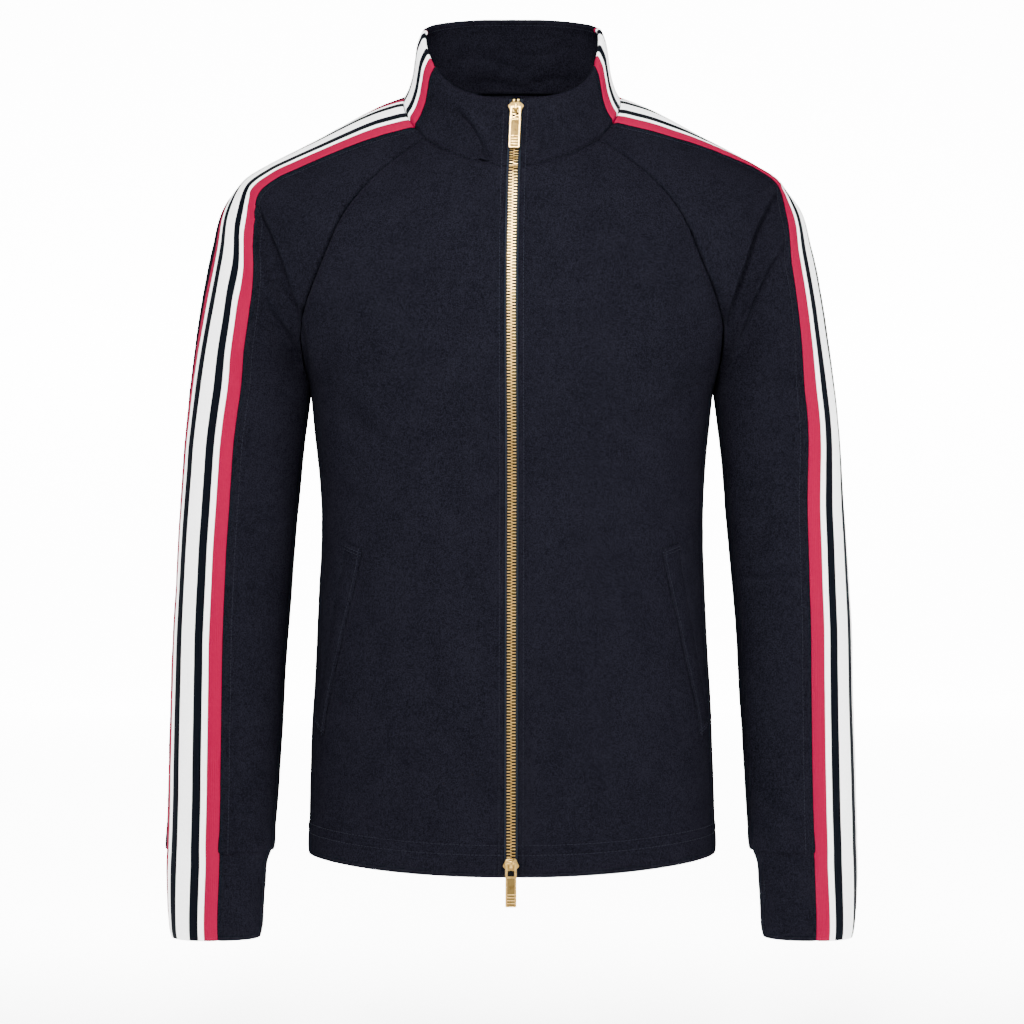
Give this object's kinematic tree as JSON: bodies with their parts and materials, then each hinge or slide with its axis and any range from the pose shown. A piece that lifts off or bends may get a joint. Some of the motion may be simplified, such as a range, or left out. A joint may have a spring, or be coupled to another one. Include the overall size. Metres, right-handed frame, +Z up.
{
  "type": "zip track jacket",
  "caption": "Hollow zip track jacket with a stand collar, raglan sleeves, an inset stripe tape, welt pockets, thumb-slit cuffs and a two-way metal zip.",
  "frame": {"origin": "middle of the neck opening, level with the wearer's shoulders, where the neck and shoulders hold the jacket", "axes": "+Z up; the front and its zip face -Y; the wearer's left side lies at +X"},
  "size_m": [0.5867, 0.2302, 0.7928],
  "materials": {
    "navy_jersey": "matt brushed-back sweatshirt jersey, navy",
    "stripe_tape": "ribbed knitted tape with lengthwise bands of red, white and navy",
    "zip_tape": "woven zip tape, slate blue",
    "zip_metal": "polished pale gold plating"
  },
  "bodies": {
    "jacket": {"back": "navy_jersey", "collar_back": "navy_jersey", "collar_facing": "navy_jersey", "front_right": "navy_jersey", "front_left": "navy_jersey", "sleeve_front_right": "navy_jersey", "sleeve_front_left": "navy_jersey", "sleeve_back_right": "navy_jersey", "sleeve_back_left": "navy_jersey", "cuff_right": "navy_jersey", "cuff_left": "navy_jersey", "collar_front_right": "navy_jersey", "collar_front_left": "navy_jersey", "pocket_welt_right": "navy_jersey", "pocket_welt_left": "navy_jersey", "sleeve_stripe_right": "stripe_tape", "sleeve_stripe_left": "stripe_tape", "collar_stripe_right": "stripe_tape", "collar_stripe_left": "stripe_tape", "zip_tape_right": "zip_tape", "zip_tape_left": "zip_tape", "zip_chain_right": "zip_metal", "zip_chain_left": "zip_metal", "top_slider": "zip_metal", "top_slider_crown": "zip_metal", "bottom_slider": "zip_metal", "bottom_slider_crown": "zip_metal"},
    "top_pull": {"top_pull_tab": "zip_metal"},
    "bottom_pull": {"bottom_pull_tab": "zip_metal"}
  },
  "joints": [
    {"name": "top_pull_hinge", "type": "hinge", "parent": "jacket", "child": "top_pull", "pos_m": [0.00315, -0.0757, 0.00578], "axis": [-1, 0, 0], "range_deg": [0, 165]},
    {"name": "bottom_pull_hinge", "type": "hinge", "parent": "jacket", "child": "bottom_pull", "pos_m": [-0.00086, -0.1162, -0.6216], "axis": [-1, 0, 0], "range_deg": [0, 165]}
  ]
}
